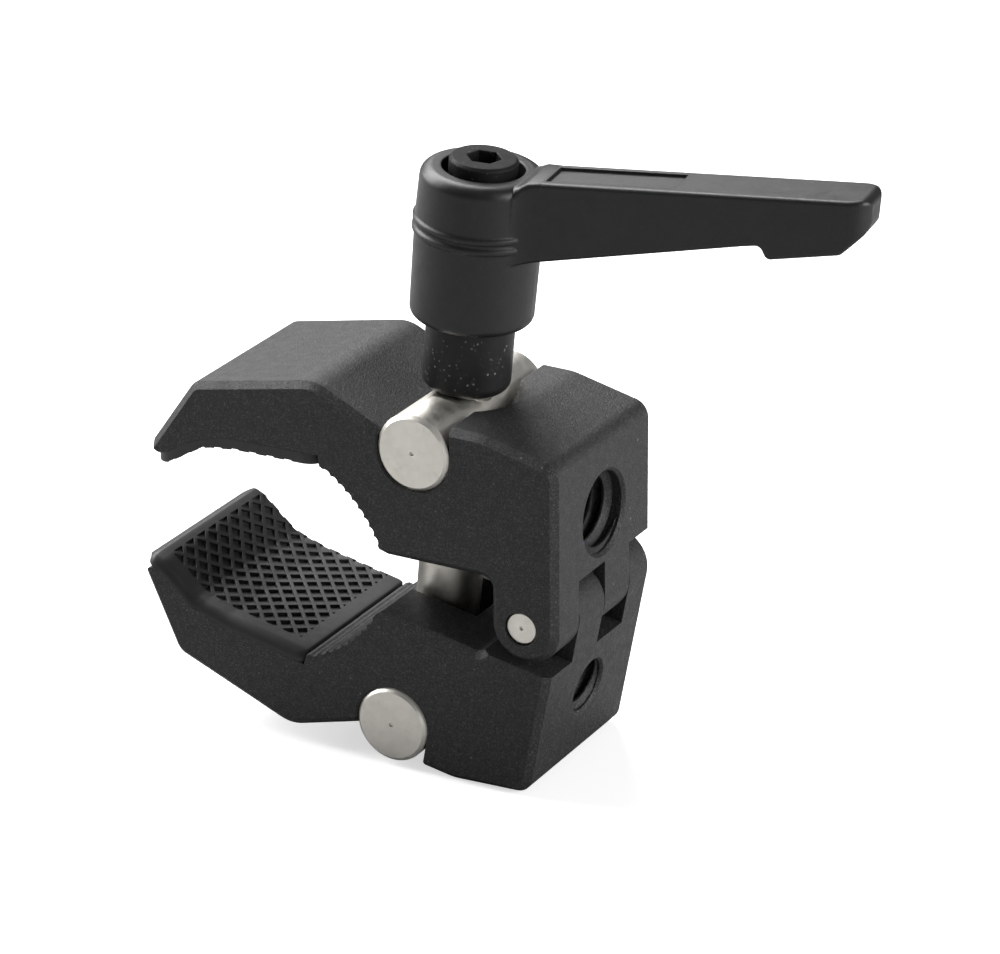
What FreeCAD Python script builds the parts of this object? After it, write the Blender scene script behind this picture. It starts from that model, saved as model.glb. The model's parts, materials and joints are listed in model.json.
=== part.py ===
import FreeCAD, Part
import math
import os

import Sketcher
from FreeCAD import Placement, Rotation, Vector

# Super clamp: two hinged jaws drawn together by a draw bolt and an adjustable clamping lever.
# Row frame: the origin is the middle of the large accessory thread. +X points out of its mouth, the
# jaws open towards -X, Y runs along the pins and +Z is up. The upper jaw stands square to this frame.
# Each jaw is drawn about the hinge, and the lower jaw is then turned to its resting opening.

DIMENSIONS = [
    ("jaw_width", 22.6),
    ("jaw_edge_chamfer", 0.8),
    ("rear_face", 4.5),
    ("hinge_behind_origin", 1.1),
    ("body_floor", 5.2),
    ("knuckle_floor", 4.7),
    ("near_split", -5.9),
    ("middle_split", 0.1),
    ("far_split", 6.0),
    ("knuckle_gap", 0.08),
    ("rest_angle", 11.0),
    ("hinge_pin_diameter", 4.0),
    ("hinge_pin_length", 22.0),
    ("hinge_pin_chamfer", 0.25),
    ("hinge_press", 0.01),
    ("running_gap", 0.05),
    ("cross_pin_diameter", 9.0),
    ("cross_pin_forward", 13.4),
    ("cross_pin_offset", 18.4),
    ("cross_pin_length", 23.0),
    ("cross_pin_chamfer", 0.45),
    ("dimple_diameter", 0.5),
    ("dimple_depth", 0.2),
    ("cross_pin_seat", 4.2),
    ("cross_pin_seat_diameter", 10.6),
    ("saddle_chamfer", 0.2),
    ("slot_width", 8.2),
    ("scoop_radius", 7.6),
    ("scoop_height", 7.5),
    ("large_thread_diameter", 9.525),
    ("large_thread_depth", 10.8),
    ("large_thread_mouth", 10.3),
    ("large_thread_level", 10.64),
    ("small_thread_diameter", 6.35),
    ("small_thread_depth", 9.0),
    ("small_thread_mouth", 7.0),
    ("small_thread_level", 10.45),
    ("thread_mouth_angle", 90),
    ("flute_radius", 0.75),
    ("flute_depth", 0.25),
    ("flute_count", 9),
    ("pad_gap", 0.03),
    ("bolt_thread_diameter", 6.0),
    ("bolt_shank_diameter", 7.4),
    ("bolt_shank_end", 24.9),
    ("bolt_length", 50.3),
    ("bolt_foot", 4.0),
    ("bolt_chamfer", 0.6),
    ("insert_foot", 4.3),
    ("insert_diameter", 10.0),
    ("insert_foot_round", 1.2),
    ("insert_tooth_level", 18.3),
    ("insert_tooth_diameter", 9.5),
    ("insert_top", 21.5),
    ("insert_bore_top", 17.0),
    ("insert_gap", 0.08),
    ("tooth_count", 18),
    ("tooth_groove_width", 0.85),
    ("tooth_groove_depth", 0.45),
    ("tooth_gap", 0.06),
    ("tooth_root", 0.4),
    ("tooth_step", 0.1),
    ("screw_shank_diameter", 4.0),
    ("screw_shank_foot", 17.6),
    ("screw_head_diameter", 7.7),
    ("screw_head_level", 28.2),
    ("screw_head_top", 31.6),
    ("screw_head_chamfer", 0.3),
    ("screw_socket_width", 3.5),
    ("screw_socket_depth", 2.0),
    ("screw_socket_turn", 10),
    ("hub_foot", 12.8),
    ("hub_top", 30.4),
    ("hub_diameter", 14.2),
    ("hub_foot_diameter", 13.9),
    ("hub_foot_round", 0.9),
    ("hub_top_round", 1.3),
    ("hub_top_taper", 0.2),
    ("hub_counterbore", 9.3),
    ("hub_web_foot", 21.6),
    ("hub_web_top", 22.8),
    ("hub_web_hole", 4.4),
    ("hub_bead_height", 0.25),
    ("hub_bead_foot", 0.9),
    ("hub_bead_crest", 0.4),
    ("hub_bead_low", 23.2),
    ("hub_bead_high", 24.4),
    ("arm_width", 6.8),
    ("arm_direction", 7.5),
    ("arm_root_width", 9.4),
    ("arm_root_flare", 4.0),
    ("arm_end_round", 2.4),
    ("arm_edge_round", 0.45),
    ("arm_recess_width", 4.6),
    ("spring_wire", 0.5),
    ("spring_diameter", 7.6),
    ("spring_turns", 4),
    ("spring_points_per_turn", 16),
    ("cut_margin", 2.0),
    ("through_cut", 100.0),
]
EXACT = 1e-6

doc = FreeCAD.newDocument("SuperClamp")
sheet = doc.addObject("Spreadsheet::Sheet", "Sheet")
for row, (alias, value) in enumerate(DIMENSIONS, start=1):
    sheet.set(f"A{row}", alias)
    sheet.set(f"B{row}", str(value))
    sheet.setAlias(f"B{row}", alias)
doc.recompute()


def dim(alias):
    """The value of a driving dimension."""
    return float(sheet.get(alias))


def worth(expression):
    """The value of an expression of driving dimensions."""
    return float(sheet.evalExpression(expression))


def new_body(name):
    body = doc.addObject("PartDesign::Body", name)
    body.Label = name
    return body


def new_sketch(body, name, plane, offset=0.0):
    """A sketch on one of the body's own origin planes, moved along the plane's normal."""
    sketch = body.newObject("Sketcher::SketchObject", name)
    support = [f for f in body.Origin.OriginFeatures if f.Role == plane][0]
    sketch.AttachmentSupport = [(support, "")]
    sketch.MapMode = "FlatFace"
    sketch.AttachmentOffset = Placement(Vector(0, 0, offset), Rotation())
    return sketch


def rounded(corners):
    """Lines and arcs of a closed outline, from corners given as (x, y, corner radius)."""
    spots = [Vector(x, y, 0) for x, y, _ in corners]
    trimmed = []
    for i, (_, _, radius) in enumerate(corners):
        corner = spots[i]
        back = (spots[i - 1] - corner).normalize()
        ahead = (spots[(i + 1) % len(spots)] - corner).normalize()
        if not radius:
            trimmed.append((corner, None, corner))
            continue
        half = back.getAngle(ahead) / 2
        reach = radius / math.tan(half)
        inward = (back + ahead).normalize()
        middle = corner + inward * (radius / math.sin(half) - radius)
        trimmed.append((corner + back * reach, middle, corner + ahead * reach))
    pieces = []
    for i, (start, middle, end) in enumerate(trimmed):
        if middle:
            pieces.append(Part.Arc(start, middle, end))
        following = trimmed[(i + 1) % len(trimmed)][0]
        if (following - end).Length > EXACT:
            pieces.append(Part.LineSegment(end, following))
    return pieces


def draw_rounded(sketch, corners):
    sketch.addGeometry(rounded(corners), False)


def draw_circle(sketch, across, up, diameter):
    """A circle whose centre and diameter are expressions of driving dimensions."""
    centre = Vector(worth(across), worth(up), 0)
    number = sketch.addGeometry(Part.Circle(centre, Vector(0, 0, 1), worth(diameter) / 2), False)
    for kind, expression in (("DistanceX", across), ("DistanceY", up)):
        distance = Sketcher.Constraint(kind, -1, 1, number, 3, worth(expression))
        bound = sketch.addConstraint(distance)
        sketch.setExpression(f"Constraints[{bound}]", expression)
    bound = sketch.addConstraint(Sketcher.Constraint("Diameter", number, worth(diameter)))
    sketch.setExpression(f"Constraints[{bound}]", diameter)


def draw_stepped(sketch, corners):
    """A closed straight-sided outline whose corners are pairs of expressions of driving dimensions."""
    spots = [Vector(worth(x), worth(y), 0) for x, y in corners]
    count = len(spots)
    sides = [Part.LineSegment(spots[i], spots[(i + 1) % count]) for i in range(count)]
    first = sketch.addGeometry(sides, False)[0]
    for i in range(count):
        following = first + (i + 1) % count
        sketch.addConstraint(Sketcher.Constraint("Coincident", first + i, 2, following, 1))
    for i, pair in enumerate(corners):
        for kind, expression in zip(("DistanceX", "DistanceY"), pair):
            distance = Sketcher.Constraint(kind, -1, 1, first + i, 1, worth(expression))
            bound = sketch.addConstraint(distance)
            sketch.setExpression(f"Constraints[{bound}]", expression)


def extrude(kind, body, name, sketch, length, both_sides=True, reverse=False):
    """A Pad or Pocket of a sketch, its length an expression of driving dimensions."""
    feature = body.newObject(f"PartDesign::{kind}", name)
    feature.Profile = sketch
    feature.SideType = "Symmetric" if both_sides else "One side"
    feature.Reversed = reverse
    feature.Length = worth(length)
    feature.setExpression("Length", length)
    sketch.Visibility = False
    return feature


def turn(kind, body, name, sketch):
    """A Revolution or Groove of a sketch about its own vertical axis."""
    feature = body.newObject(f"PartDesign::{kind}", name)
    feature.Profile = sketch
    feature.ReferenceAxis = (sketch, ["V_Axis"])
    feature.Angle = 360
    return feature


def dress(kind, body, name, base, wanted, size):
    """A Fillet or Chamfer on the edges of the base feature that the wanted test picks."""
    doc.recompute()
    edges = [f"Edge{i}" for i, edge in enumerate(base.Shape.Edges, start=1) if wanted(edge)]
    feature = body.newObject(f"PartDesign::{kind}", name)
    feature.Base = (base, edges)
    measure = "Radius" if kind == "Fillet" else "Size"
    setattr(feature, measure, worth(size))
    feature.setExpression(measure, size)
    return feature


HINGE_X = "Sheet.hinge_behind_origin"
HINGE_Z = "-Sheet.large_thread_level"


def place(body, across="0", up="0", angle="0"):
    """Puts a body at expressions for its X and Z from the hinge, turned about Y by one in degrees."""
    x = f"{HINGE_X} + ({across})"
    z = f"{HINGE_Z} + ({up})"
    body.Placement = Placement(
        Vector(worth(x), 0, worth(z)), Rotation(Vector(0, 1, 0), worth(angle))
    )
    body.setExpression("Placement.Base.x", x)
    body.setExpression("Placement.Base.z", z)
    body.setExpression("Placement.Rotation.Angle", f"({angle}) * 1 deg")


# A jaw's side outline, drawn for the upper jaw: (x, z, corner radius), from the nose over the back.
# Between the two corners at x = -17.6 and x = -9.2 the cross pin's saddle is cut later.
REAR = dim("rear_face")
FLOOR = dim("body_floor")
NOSE = [(-47.95, 11.7, 1.1), (-47.8, 13.25, 0)]
BACK = [(-42.1, 21.3, 2.0), (-26.3, 24.4, 4.5), (-17.6, 20.16, 0), (-9.2, 22.1, 0), (-5.0, 22.05, 6.0)]
REAR_CORNER = [(REAR, 19.85, 2.0)]
KNUCKLE = [(REAR, -4.1, 4.0), (-3.8, -4.1, 4.0), (-3.8, FLOOR, 1.4)]
THROAT_END = [(-17.2, FLOOR, 0), (-17.85, 5.8, 0)]
THROAT = [(-20.23, 11.54, 17.0), (-25.5, 14.45, 0)]
PAD_SEAT = [(-25.6, 15.75, 0), (-37.0, 15.5, 8.0), (-41.0, 14.75, 8.0), (-46.2, 12.0, 1.5)]
JAW_OUTLINE = NOSE + BACK + REAR_CORNER + KNUCKLE + THROAT_END + THROAT + PAD_SEAT

# The slot in which the draw bolt swings: level with the cross pin at its top, wide at the mouth.
SLOT_LEVEL = dim("cross_pin_offset")
SLOT_OUTLINE = [(-17.9, SLOT_LEVEL, 0), (-9.3, SLOT_LEVEL, 0), (-8.7, 4.0, 0), (-21.2, 4.0, 0)]

# The throat is an arc about this point, so its flutes lie on a circle about it too.
THROAT_CENTRE = (-33.66, -0.45)
THROAT_RADIUS = 17.0
FLUTE_FIRST = 25.5
FLUTE_LAST = 57.5

# The grip side of a pad, from its nose to its rear end. Its back follows the jaw's seat.
PAD_FACE = [
    (-48.1, 11.65, 0),
    (-48.3, 11.15, 0.3),
    (-47.25, 10.45, 0.8),
    (-45.7, 10.8, 2.5),
    (-40.9, 13.65, 5.0),
    (-36.5, 14.15, 8.0),
    (-25.75, 14.3, 1.0),
]

# Half the length along X of the room that each knuckle has in the other jaw.
KNUCKLE_REACH = 6.0


def flipped(corners, side):
    """Corners of the upper jaw's side view, mirrored about the hinge for the lower jaw (side -1)."""
    return [(x, side * z, radius) for x, z, radius in corners]


def on_side_face(edge):
    """An edge of a jaw blank's side outline, except round the mouth, where the edges stay sharp."""
    half = dim("jaw_width") / 2
    flat = edge.BoundBox.YLength < EXACT
    middle = edge.BoundBox.Center
    in_mouth = middle.x < THROAT_END[0][0] and abs(middle.z) < PAD_SEAT[0][1]
    return flat and abs(abs(middle.y) - half) < EXACT and not in_mouth


def make_jaw(name, side, thread, freed_spans):
    """One jaw. Side is 1 for the upper jaw and -1 for its mirror image, the lower jaw.

    The freed spans are the parts of its width that the other jaw's knuckles take.
    """
    body = new_body(name)
    blank_sketch = new_sketch(body, f"{name}_outline", "XZ_Plane")
    draw_rounded(blank_sketch, flipped(JAW_OUTLINE, side))
    blank = extrude("Pad", body, f"{name}_blank", blank_sketch, "Sheet.jaw_width")
    dress("Chamfer", body, f"{name}_edges", blank, on_side_face, "Sheet.jaw_edge_chamfer")

    # open saddle for the cross pin: a half-round floor with upright walls
    forward = dim("cross_pin_forward")
    level = dim("cross_pin_offset")
    bore = dim("cross_pin_diameter") / 2 + dim("running_gap")
    outside = level + dim("cross_pin_diameter")
    saddle_sketch = new_sketch(body, f"{name}_saddle_outline", "XZ_Plane")
    saddle = [
        (-forward - bore, outside, 0),
        (-forward - bore, level - bore, bore),
        (-forward + bore, level - bore, bore),
        (-forward + bore, outside, 0),
    ]
    draw_rounded(saddle_sketch, flipped(saddle, side))
    saddle = extrude("Pocket", body, f"{name}_saddle", saddle_sketch, "Sheet.through_cut")

    def saddle_rim(edge):
        on_side = abs(abs(edge.BoundBox.Center.y) - dim("jaw_width") / 2) < EXACT
        return is_circle(edge) and on_side and abs(edge.Curve.Radius - bore) < EXACT

    dress("Chamfer", body, f"{name}_saddle_rim", saddle, saddle_rim, "Sheet.saddle_chamfer")

    slot_sketch = new_sketch(body, f"{name}_slot_outline", "XZ_Plane")
    draw_rounded(slot_sketch, flipped(SLOT_OUTLINE, side))
    extrude("Pocket", body, f"{name}_slot", slot_sketch, "Sheet.slot_width")

    # flutes across the throat, every other one at a time because their outlines overlap
    radius = dim("flute_radius")
    pitch_radius = THROAT_RADIUS - radius + dim("flute_depth")
    count = int(dim("flute_count"))
    for first in (0, 1):
        flute_sketch = new_sketch(body, f"{name}_flute_outline_{first}", "XZ_Plane")
        for i in range(first, count, 2):
            angle = math.radians(FLUTE_FIRST + (FLUTE_LAST - FLUTE_FIRST) * i / (count - 1))
            x = THROAT_CENTRE[0] + pitch_radius * math.cos(angle)
            z = side * (THROAT_CENTRE[1] + pitch_radius * math.sin(angle))
            circle = Part.Circle(Vector(x, z, 0), Vector(0, 0, 1), radius)
            flute_sketch.addGeometry(circle, False)
        extrude("Pocket", body, f"{name}_flutes_{first}", flute_sketch, "Sheet.through_cut")

    # gaps between this jaw's knuckles, for the other jaw's
    gap_sketch = new_sketch(body, f"{name}_gap_outline", "XY_Plane", side * dim("knuckle_floor"))
    gap = dim("knuckle_gap")
    for low, high in freed_spans:
        low_end = low - gap
        high_end = high + gap
        box = [
            (-KNUCKLE_REACH, low_end, 0),
            (KNUCKLE_REACH, low_end, 0),
            (KNUCKLE_REACH, high_end, 0),
            (-KNUCKLE_REACH, high_end, 0),
        ]
        draw_rounded(gap_sketch, box)
    length = "Sheet.through_cut"
    extrude("Pocket", body, f"{name}_gaps", gap_sketch, length, both_sides=False, reverse=side < 0)

    # hinge pin hole
    pin_fit = "- 2 * Sheet.hinge_press" if side > 0 else "+ 2 * Sheet.running_gap"
    hinge_sketch = new_sketch(body, f"{name}_hinge_circle", "XZ_Plane")
    draw_circle(hinge_sketch, "0", "0", f"Sheet.hinge_pin_diameter {pin_fit}")
    extrude("Pocket", body, f"{name}_hinge_hole", hinge_sketch, "Sheet.through_cut")

    # threaded accessory hole in the rear face, at its major diameter, with a countersunk mouth
    hole_sketch = new_sketch(body, f"{name}_thread_circle", "YZ_Plane", REAR)
    sign = "" if side > 0 else "-"
    draw_circle(
        hole_sketch, "0", f"{sign}Sheet.{thread}_level", f"Sheet.{thread}_diameter"
    )
    doc.recompute()
    hole = body.newObject("PartDesign::Hole", f"{name}_threaded_hole")
    hole.Profile = hole_sketch
    hole.ThreadType = "None"
    hole.setExpression("Diameter", f"Sheet.{thread}_diameter")
    hole.DepthType = "Dimension"
    hole.setExpression("Depth", f"Sheet.{thread}_depth")
    hole.DrillPoint = "Flat"
    hole.HoleCutType = "Countersink"
    hole.HoleCutCustomValues = True
    hole.setExpression("HoleCutDiameter", f"Sheet.{thread}_mouth")
    hole.setExpression("HoleCutCountersinkAngle", "Sheet.thread_mouth_angle * 1 deg")
    hole_sketch.Visibility = False
    return body


def make_upper_jaw():
    """The fixed jaw, with a scoop behind its saddle that clears the lever's insert."""
    beyond = dim("jaw_width")
    freed = [(dim("near_split"), dim("middle_split")), (dim("far_split"), beyond)]
    body = make_jaw("upper_jaw", 1, "large_thread", freed)
    doc.recompute()
    scoop = body.newObject("PartDesign::SubtractiveSphere", "upper_jaw_scoop")
    tilt = math.radians(dim("rest_angle") / 2)
    rise = dim("scoop_height")
    centre = Vector(
        -dim("cross_pin_forward") + rise * math.sin(tilt),
        0,
        dim("cross_pin_offset") + rise * math.cos(tilt),
    )
    scoop.Placement = Placement(centre, Rotation())
    scoop.setExpression("Radius", "Sheet.scoop_radius")
    place(body)
    return body


def make_lower_jaw():
    """The swinging jaw, turned about the hinge to its resting opening."""
    beyond = -dim("jaw_width")
    freed = [(beyond, dim("near_split")), (dim("middle_split"), dim("far_split"))]
    body = make_jaw("lower_jaw", -1, "small_thread", freed)
    place(body, angle="Sheet.rest_angle")
    return body


def make_pad(name, side):
    """A rubber grip pad on a jaw's seat: its back follows the seat at a small gap."""
    body = new_body(name)
    sketch = new_sketch(body, f"{name}_outline", "XZ_Plane")
    gap = dim("pad_gap")
    back = [(PAD_FACE[-1][0], PAD_SEAT[0][1] - gap, 0)]
    back += [(x, z - gap, radius) for x, z, radius in PAD_SEAT[1:]]
    draw_rounded(sketch, flipped(PAD_FACE + back, side))
    extrude("Pad", body, f"{name}_block", sketch, "Sheet.jaw_width")
    return body


def make_hinge_pin():
    body = new_body("hinge_pin")
    sketch = new_sketch(body, "hinge_pin_circle", "XZ_Plane")
    draw_circle(sketch, "0", "0", "Sheet.hinge_pin_diameter")
    rod = extrude("Pad", body, "hinge_pin_rod", sketch, "Sheet.hinge_pin_length")
    dress("Chamfer", body, "hinge_pin_ends", rod, is_circle, "Sheet.hinge_pin_chamfer")
    add_dimples(body, dim("hinge_pin_length"))
    place(body)
    return body


def add_dimples(body, length):
    """Small centre marks that turning leaves in both ends of a pin."""
    for end, offset, reverse in (("near", length / 2, False), ("far", -length / 2, True)):
        dimple = f"{body.Label}_{end}_dimple"
        sketch = new_sketch(body, f"{dimple}_circle", "XZ_Plane", offset)
        draw_circle(sketch, "0", "0", "Sheet.dimple_diameter")
        depth = "Sheet.dimple_depth"
        extrude("Pocket", body, dimple, sketch, depth, both_sides=False, reverse=reverse)


def is_circle(edge):
    return isinstance(edge.Curve, Part.Circle)


def make_cross_pin(name, cross_hole):
    """A steel barrel with a flat seat on top and a hole across it, along its own Z."""
    body = new_body(name)
    sketch = new_sketch(body, f"{name}_circle", "XZ_Plane")
    draw_circle(sketch, "0", "0", "Sheet.cross_pin_diameter")
    rod = extrude("Pad", body, f"{name}_barrel", sketch, "Sheet.cross_pin_length")
    dress("Chamfer", body, f"{name}_ends", rod, is_circle, "Sheet.cross_pin_chamfer")

    seat_sketch = new_sketch(body, f"{name}_seat_circle", "XY_Plane", dim("cross_pin_seat"))
    draw_circle(seat_sketch, "0", "0", "Sheet.cross_pin_seat_diameter")
    depth = "Sheet.cross_pin_diameter"
    extrude("Pocket", body, f"{name}_seat", seat_sketch, depth, both_sides=False, reverse=True)

    hole_sketch = new_sketch(body, f"{name}_hole_circle", "XY_Plane")
    draw_circle(hole_sketch, "0", "0", cross_hole)
    extrude("Pocket", body, f"{name}_hole", hole_sketch, "Sheet.through_cut")
    add_dimples(body, dim("cross_pin_length"))
    return body


def make_draw_bolt():
    """The draw bolt: threaded foot, thick smooth shank and threaded upper end, from its foot up."""
    body = new_body("draw_bolt")
    sketch = new_sketch(body, "draw_bolt_outline", "XZ_Plane")
    thread = "Sheet.bolt_thread_diameter / 2"
    shank = "Sheet.bolt_shank_diameter / 2"
    bevel = "Sheet.bolt_chamfer"
    seat = "Sheet.bolt_foot + Sheet.cross_pin_seat"
    shoulder = "Sheet.bolt_foot + Sheet.bolt_shank_end"
    corners = [
        ("0", "0"),
        (f"{thread} - {bevel}", "0"),
        (thread, bevel),
        (thread, seat),
        (shank, seat),
        (shank, f"{shoulder} - {bevel}"),
        (thread, shoulder),
        (thread, f"Sheet.bolt_length - {bevel}"),
        (f"{thread} - {bevel}", "Sheet.bolt_length"),
        ("0", "Sheet.bolt_length"),
    ]
    draw_stepped(sketch, corners)
    turn("Revolution", body, "draw_bolt_body", sketch)
    return body


def at_level(level):
    """A test for round edges at one height of an upright body."""

    def test(edge):
        return is_circle(edge) and abs(edge.BoundBox.Center.z - worth(level)) < EXACT

    return test


def make_lever_insert():
    """The lever's threaded insert: a rounded foot on the cross pin and a ring of teeth at the top."""
    body = new_body("lever_insert")
    sketch = new_sketch(body, "lever_insert_outline", "XZ_Plane")
    bore = "Sheet.bolt_thread_diameter / 2 + Sheet.running_gap"
    tap = "Sheet.screw_shank_diameter / 2 + Sheet.running_gap"
    tooth = "Sheet.insert_tooth_diameter / 2"
    corners = [
        (bore, "Sheet.insert_foot"),
        ("Sheet.insert_diameter / 2", "Sheet.insert_foot"),
        ("Sheet.insert_diameter / 2", "Sheet.insert_tooth_level"),
        (tooth, "Sheet.insert_tooth_level"),
        (tooth, "Sheet.insert_top"),
        (tap, "Sheet.insert_top"),
        (tap, "Sheet.insert_bore_top"),
        (bore, "Sheet.insert_bore_top"),
    ]
    draw_stepped(sketch, corners)
    blank = turn("Revolution", body, "lever_insert_blank", sketch)

    def foot_rim(edge):
        at_foot = at_level("Sheet.insert_foot")(edge)
        return at_foot and abs(edge.Curve.Radius - dim("insert_diameter") / 2) < EXACT

    dress("Fillet", body, "lever_insert_foot", blank, foot_rim, "Sheet.insert_foot_round")

    groove_sketch = new_sketch(body, "lever_insert_groove", "XY_Plane", dim("insert_tooth_level"))
    inner = "Sheet.insert_tooth_diameter / 2 - Sheet.tooth_groove_depth"
    half = "Sheet.tooth_groove_width / 2"
    outer = "Sheet.insert_diameter"
    corners = [(inner, f"-{half}"), (outer, f"-{half}"), (outer, half), (inner, half)]
    draw_stepped(groove_sketch, corners)
    name = "lever_insert_tooth_gap"
    length = "Sheet.insert_top"
    groove = extrude("Pocket", body, name, groove_sketch, length, both_sides=False, reverse=True)
    repeat_teeth(body, "lever_insert_teeth", groove)
    return body


def repeat_teeth(body, name, feature):
    """Repeats a tooth or a groove around the screw axis."""
    doc.recompute()
    pattern = body.newObject("PartDesign::PolarPattern", name)
    pattern.Originals = [feature]
    axis = [f for f in body.Origin.OriginFeatures if f.Role == "Z_Axis"][0]
    pattern.Axis = (axis, [""])
    pattern.Angle = 360
    pattern.setExpression("Occurrences", "Sheet.tooth_count")
    body.Tip = pattern


def make_retaining_screw():
    """Socket-head screw that holds the lever on its insert."""
    body = new_body("retaining_screw")
    sketch = new_sketch(body, "retaining_screw_outline", "XZ_Plane")
    shank = "Sheet.screw_shank_diameter / 2"
    head = "Sheet.screw_head_diameter / 2"
    bevel = "Sheet.screw_head_chamfer"
    corners = [
        ("0", "Sheet.screw_shank_foot"),
        (shank, "Sheet.screw_shank_foot"),
        (shank, "Sheet.screw_head_level"),
        (head, "Sheet.screw_head_level"),
        (head, f"Sheet.screw_head_top - {bevel}"),
        (f"{head} - {bevel}", "Sheet.screw_head_top"),
        ("0", "Sheet.screw_head_top"),
    ]
    draw_stepped(sketch, corners)
    turn("Revolution", body, "retaining_screw_body", sketch)

    socket_sketch = new_sketch(body, "retaining_screw_hexagon", "XY_Plane", dim("screw_head_top"))
    reach = dim("screw_socket_width") / math.sqrt(3)
    turns = [math.radians(60 * i + dim("screw_socket_turn")) for i in range(6)]
    hexagon = [(reach * math.cos(a), reach * math.sin(a), 0) for a in turns]
    draw_rounded(socket_sketch, hexagon)
    depth = "Sheet.screw_socket_depth"
    extrude("Pocket", body, "retaining_screw_socket", socket_sketch, depth, both_sides=False)
    return body


# Side outline of the lever's arm, (distance from the screw axis, height, corner radius).
ARM_OUTLINE = [
    (4.9, 29.6, 0),
    (7.2, 31.18, 3.0),
    (44.4, 37.2, 0.9),
    (44.5, 33.6, 2.5),
    (41.9, 30.6, 1.2),
    (33.9, 28.25, 0.7),
    (33.0, 29.7, 0.8),
    (31.0, 29.15, 0.8),
    (4.9, 21.05, 0),
]
# Floor of the shallow recess along the arm's top.
ARM_RECESS = [(8.2, 31.0, 0), (22.6, 33.35, 0), (23.2, 36.0, 0), (7.6, 34.0, 0)]


def make_clamp_handle():
    """The die-cast lever: a hub on the screw axis and an arm along its own +X."""
    body = new_body("clamp_handle")
    arm_sketch = new_sketch(body, "clamp_handle_arm_outline", "XZ_Plane")
    draw_rounded(arm_sketch, ARM_OUTLINE)
    extrude("Pad", body, "clamp_handle_arm", arm_sketch, "Sheet.arm_root_width")

    # seen from above, the arm flares into the hub and has rounded corners at its end
    plan_sketch = new_sketch(body, "clamp_handle_plan_outline", "XY_Plane")
    half = dim("arm_width") / 2
    flare = dim("arm_root_flare")
    hub = dim("hub_diameter") / 2
    outside = 2 * hub
    flare_up = half + flare
    flare_along = math.sqrt((hub + flare) ** 2 - flare_up**2)
    on_hub = hub / (hub + flare)
    root_turn = (math.pi / 2 + math.atan2(flare_up, flare_along)) / 2
    radius = dim("arm_end_round")
    start = ARM_OUTLINE[3][0] - radius
    inner = half - radius
    diagonal = radius * math.sqrt(0.5)
    for side in (-1, 1):
        flare_middle = Vector(
            flare_along - flare * math.cos(root_turn),
            side * (flare_up - flare * math.sin(root_turn)),
            0,
        )
        spots = [
            Vector(start + radius, side * inner, 0),
            Vector(start + 2 * radius, side * inner, 0),
            Vector(start + 2 * radius, side * outside, 0),
            Vector(flare_along * on_hub, side * outside, 0),
            Vector(flare_along * on_hub, side * flare_up * on_hub, 0),
        ]
        lines = [Part.LineSegment(one, other) for one, other in zip(spots, spots[1:])]
        flare_end = Vector(flare_along, side * half, 0)
        corner_start = Vector(start, side * half, 0)
        corner_middle = Vector(start + diagonal, side * (inner + diagonal), 0)
        lines.append(Part.Arc(spots[-1], flare_middle, flare_end))
        lines.append(Part.LineSegment(flare_end, corner_start))
        lines.append(Part.Arc(corner_start, corner_middle, spots[0]))
        plan_sketch.addGeometry(lines, False)
    end = extrude("Pocket", body, "clamp_handle_plan", plan_sketch, "Sheet.through_cut")

    def long_edge(edge):
        """The two long edges of the arm's sloping top."""
        box = edge.BoundBox
        on_side = box.YLength < EXACT and abs(abs(box.Center.y) - half) < EXACT
        return on_side and box.Center.z > ARM_OUTLINE[1][1] and box.XLength > ARM_OUTLINE[1][0]

    dress("Fillet", body, "clamp_handle_edges", end, long_edge, "Sheet.arm_edge_round")

    recess_sketch = new_sketch(body, "clamp_handle_recess_outline", "XZ_Plane")
    draw_rounded(recess_sketch, ARM_RECESS)
    extrude("Pocket", body, "clamp_handle_recess", recess_sketch, "Sheet.arm_recess_width")

    # hub: slightly tapered barrel with two fine beads round it
    hub_sketch = new_sketch(body, "clamp_handle_hub_outline", "XZ_Plane")
    foot = dim("hub_foot")
    top = dim("hub_top")
    wide = dim("hub_diameter") / 2
    proud = wide + dim("hub_bead_height")
    bead_half = dim("hub_bead_foot") / 2
    crest_half = dim("hub_bead_crest") / 2
    outline = [(0, foot, 0), (dim("hub_foot_diameter") / 2, foot, dim("hub_foot_round"))]
    for level in (dim("hub_bead_low"), dim("hub_bead_high")):
        outline += [(wide, level - bead_half, 0), (proud, level - crest_half, 0)]
        outline += [(proud, level + crest_half, 0), (wide, level + bead_half, 0)]
    outline += [(wide - dim("hub_top_taper"), top, dim("hub_top_round")), (0, top, 0)]
    draw_rounded(hub_sketch, outline)
    turn("Revolution", body, "clamp_handle_hub", hub_sketch)

    # counterbore for the screw and spring, web hole, tooth ring and insert bore
    bore_sketch = new_sketch(body, "clamp_handle_bore_outline", "XZ_Plane")
    fit = "Sheet.insert_diameter / 2 + Sheet.insert_gap"
    ring = "Sheet.insert_tooth_diameter / 2 + Sheet.insert_gap"
    tooth_foot = "Sheet.insert_tooth_level + Sheet.tooth_step"
    corners = [
        ("0", "Sheet.hub_foot - Sheet.cut_margin"),
        (fit, "Sheet.hub_foot - Sheet.cut_margin"),
        (fit, tooth_foot),
        (ring, tooth_foot),
        (ring, "Sheet.hub_web_foot"),
        ("Sheet.hub_web_hole / 2", "Sheet.hub_web_foot"),
        ("Sheet.hub_web_hole / 2", "Sheet.hub_web_top"),
        ("Sheet.hub_counterbore / 2", "Sheet.hub_web_top"),
        ("Sheet.hub_counterbore / 2", "Sheet.hub_top + Sheet.cut_margin"),
        ("0", "Sheet.hub_top + Sheet.cut_margin"),
    ]
    draw_stepped(bore_sketch, corners)
    turn("Groove", body, "clamp_handle_bore", bore_sketch)

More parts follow.
